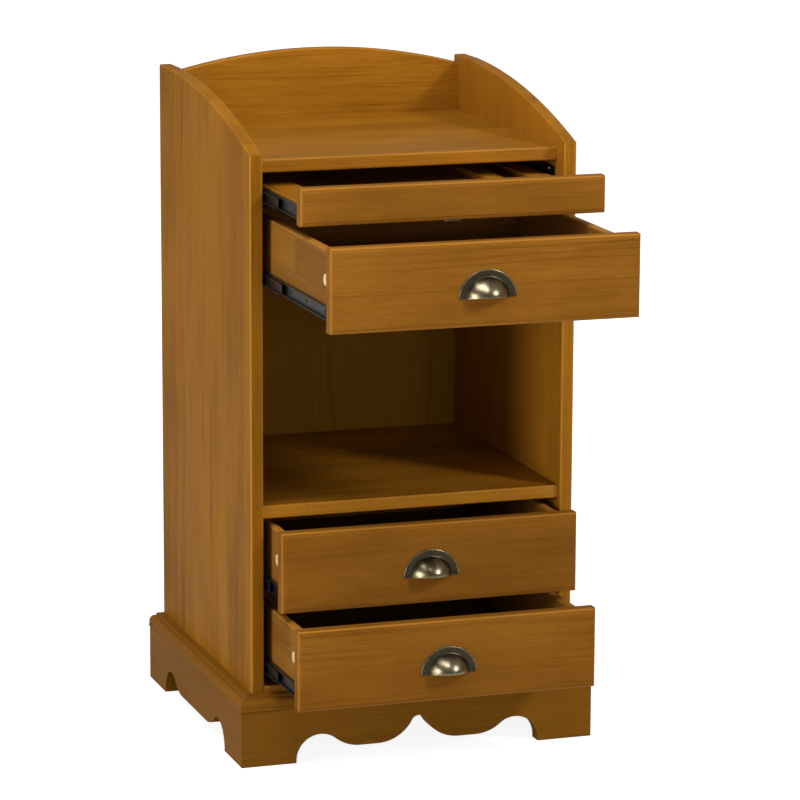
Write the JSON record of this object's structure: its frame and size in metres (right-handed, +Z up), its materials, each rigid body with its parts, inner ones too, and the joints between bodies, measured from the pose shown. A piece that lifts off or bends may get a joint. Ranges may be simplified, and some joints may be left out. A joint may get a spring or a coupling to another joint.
{
  "type": "chest of drawers",
  "caption": "Narrow pine chest with pull-out tray, cup-pull drawers on telescopic runners, open shelf space, curved sides and a shaped plinth.",
  "frame": {"origin": "on the floor, midway across the chest and midway between the side panels' front and back edges", "axes": "+X to the right seen from the front, +Y to the back, +Z up; the drawers open along -Y"},
  "size_m": [0.507, 0.7605, 0.915],
  "materials": {
    "stained_pine": "satin waxed, honey stain",
    "box_pine": "satin, pale",
    "box_bottom": "satin thin board",
    "back_veneer": "satin thin board",
    "dowel_wood": "plain",
    "black_rail": "black coated",
    "zinc_screw": "zinc",
    "lip_metal": "satin",
    "cream_plastic": "matt",
    "aged_brass": "antique, worn bright on its rim"
  },
  "bodies": {
    "carcass": {"left_side": "stained_pine", "right_side": "stained_pine", "top_board": "stained_pine", "gallery_panel": "stained_pine", "shelf_board": "stained_pine", "bottom_board": "stained_pine", "back_panel": "back_veneer", "plinth_front": "stained_pine", "plinth_left": "stained_pine", "plinth_right": "stained_pine", "plinth_back": "stained_pine", "moulding_front": "stained_pine", "moulding_left": "stained_pine", "moulding_right": "stained_pine", "corner_blocks": "box_pine", "dowels": "dowel_wood", "carcass_screws": "zinc_screw", "tray_outer_rails": "black_rail", "drawer_1_outer_rails": "black_rail", "drawer_2_outer_rails": "black_rail", "drawer_3_outer_rails": "black_rail"},
    "tray_middle": {"tray_middle_rails": "black_rail"},
    "drawer_1_middle": {"drawer_1_middle_rails": "black_rail"},
    "drawer_2_middle": {"drawer_2_middle_rails": "black_rail"},
    "drawer_3_middle": {"drawer_3_middle_rails": "black_rail"},
    "tray": {"tray_front": "stained_pine", "tray_board": "stained_pine", "tray_lip": "lip_metal", "tray_rails": "black_rail", "tray_screws": "zinc_screw"},
    "drawer_1": {"drawer_1_front": "stained_pine", "drawer_1_left_side": "box_pine", "drawer_1_right_side": "box_pine", "drawer_1_back": "box_pine", "drawer_1_bottom": "box_bottom", "drawer_1_rails": "black_rail", "drawer_1_screws": "zinc_screw", "drawer_1_cams": "cream_plastic", "drawer_1_pull": "aged_brass", "drawer_1_pull_screws": "aged_brass"},
    "drawer_2": {"drawer_2_front": "stained_pine", "drawer_2_left_side": "box_pine", "drawer_2_right_side": "box_pine", "drawer_2_back": "box_pine", "drawer_2_bottom": "box_bottom", "drawer_2_rails": "black_rail", "drawer_2_screws": "zinc_screw", "drawer_2_cams": "cream_plastic", "drawer_2_pull": "aged_brass", "drawer_2_pull_screws": "aged_brass"},
    "drawer_3": {"drawer_3_front": "stained_pine", "drawer_3_left_side": "box_pine", "drawer_3_right_side": "box_pine", "drawer_3_back": "box_pine", "drawer_3_bottom": "box_bottom", "drawer_3_rails": "black_rail", "drawer_3_screws": "zinc_screw", "drawer_3_cams": "cream_plastic", "drawer_3_pull": "aged_brass", "drawer_3_pull_screws": "aged_brass"}
  },
  "joints": [
    {"name": "tray_slide", "type": "slide", "parent": "carcass", "child": "tray", "axis": [0, -1, 0], "range_m": [-0.169, 0.211]},
    {"name": "drawer_1_slide", "type": "slide", "parent": "carcass", "child": "drawer_1", "axis": [0, -1, 0], "range_m": [-0.295, 0.085]},
    {"name": "drawer_2_slide", "type": "slide", "parent": "carcass", "child": "drawer_2", "axis": [0, -1, 0], "range_m": [-0.082, 0.298]},
    {"name": "drawer_3_slide", "type": "slide", "parent": "carcass", "child": "drawer_3", "axis": [0, -1, 0], "range_m": [-0.1565, 0.2235]},
    {"name": "tray_middle_slide", "type": "slide", "parent": "carcass", "child": "tray_middle", "axis": [0, -1, 0], "range_m": [-0.0846, 0.1056]},
    {"name": "drawer_1_middle_slide", "type": "slide", "parent": "carcass", "child": "drawer_1_middle", "axis": [0, -1, 0], "range_m": [-0.1004, 0.029]},
    {"name": "drawer_2_middle_slide", "type": "slide", "parent": "carcass", "child": "drawer_2_middle", "axis": [0, -1, 0], "range_m": [-0.0411, 0.1491]},
    {"name": "drawer_3_middle_slide", "type": "slide", "parent": "carcass", "child": "drawer_3_middle", "axis": [0, -1, 0], "range_m": [-0.07835, 0.11185]}
  ],
  "couplings": [
    {"joint": "tray_middle_slide", "follows": "tray_slide", "ratio": 0.5},
    {"joint": "drawer_1_middle_slide", "follows": "drawer_1_slide", "ratio": 0.34},
    {"joint": "drawer_2_middle_slide", "follows": "drawer_2_slide", "ratio": 0.5},
    {"joint": "drawer_3_middle_slide", "follows": "drawer_3_slide", "ratio": 0.5}
  ]
}
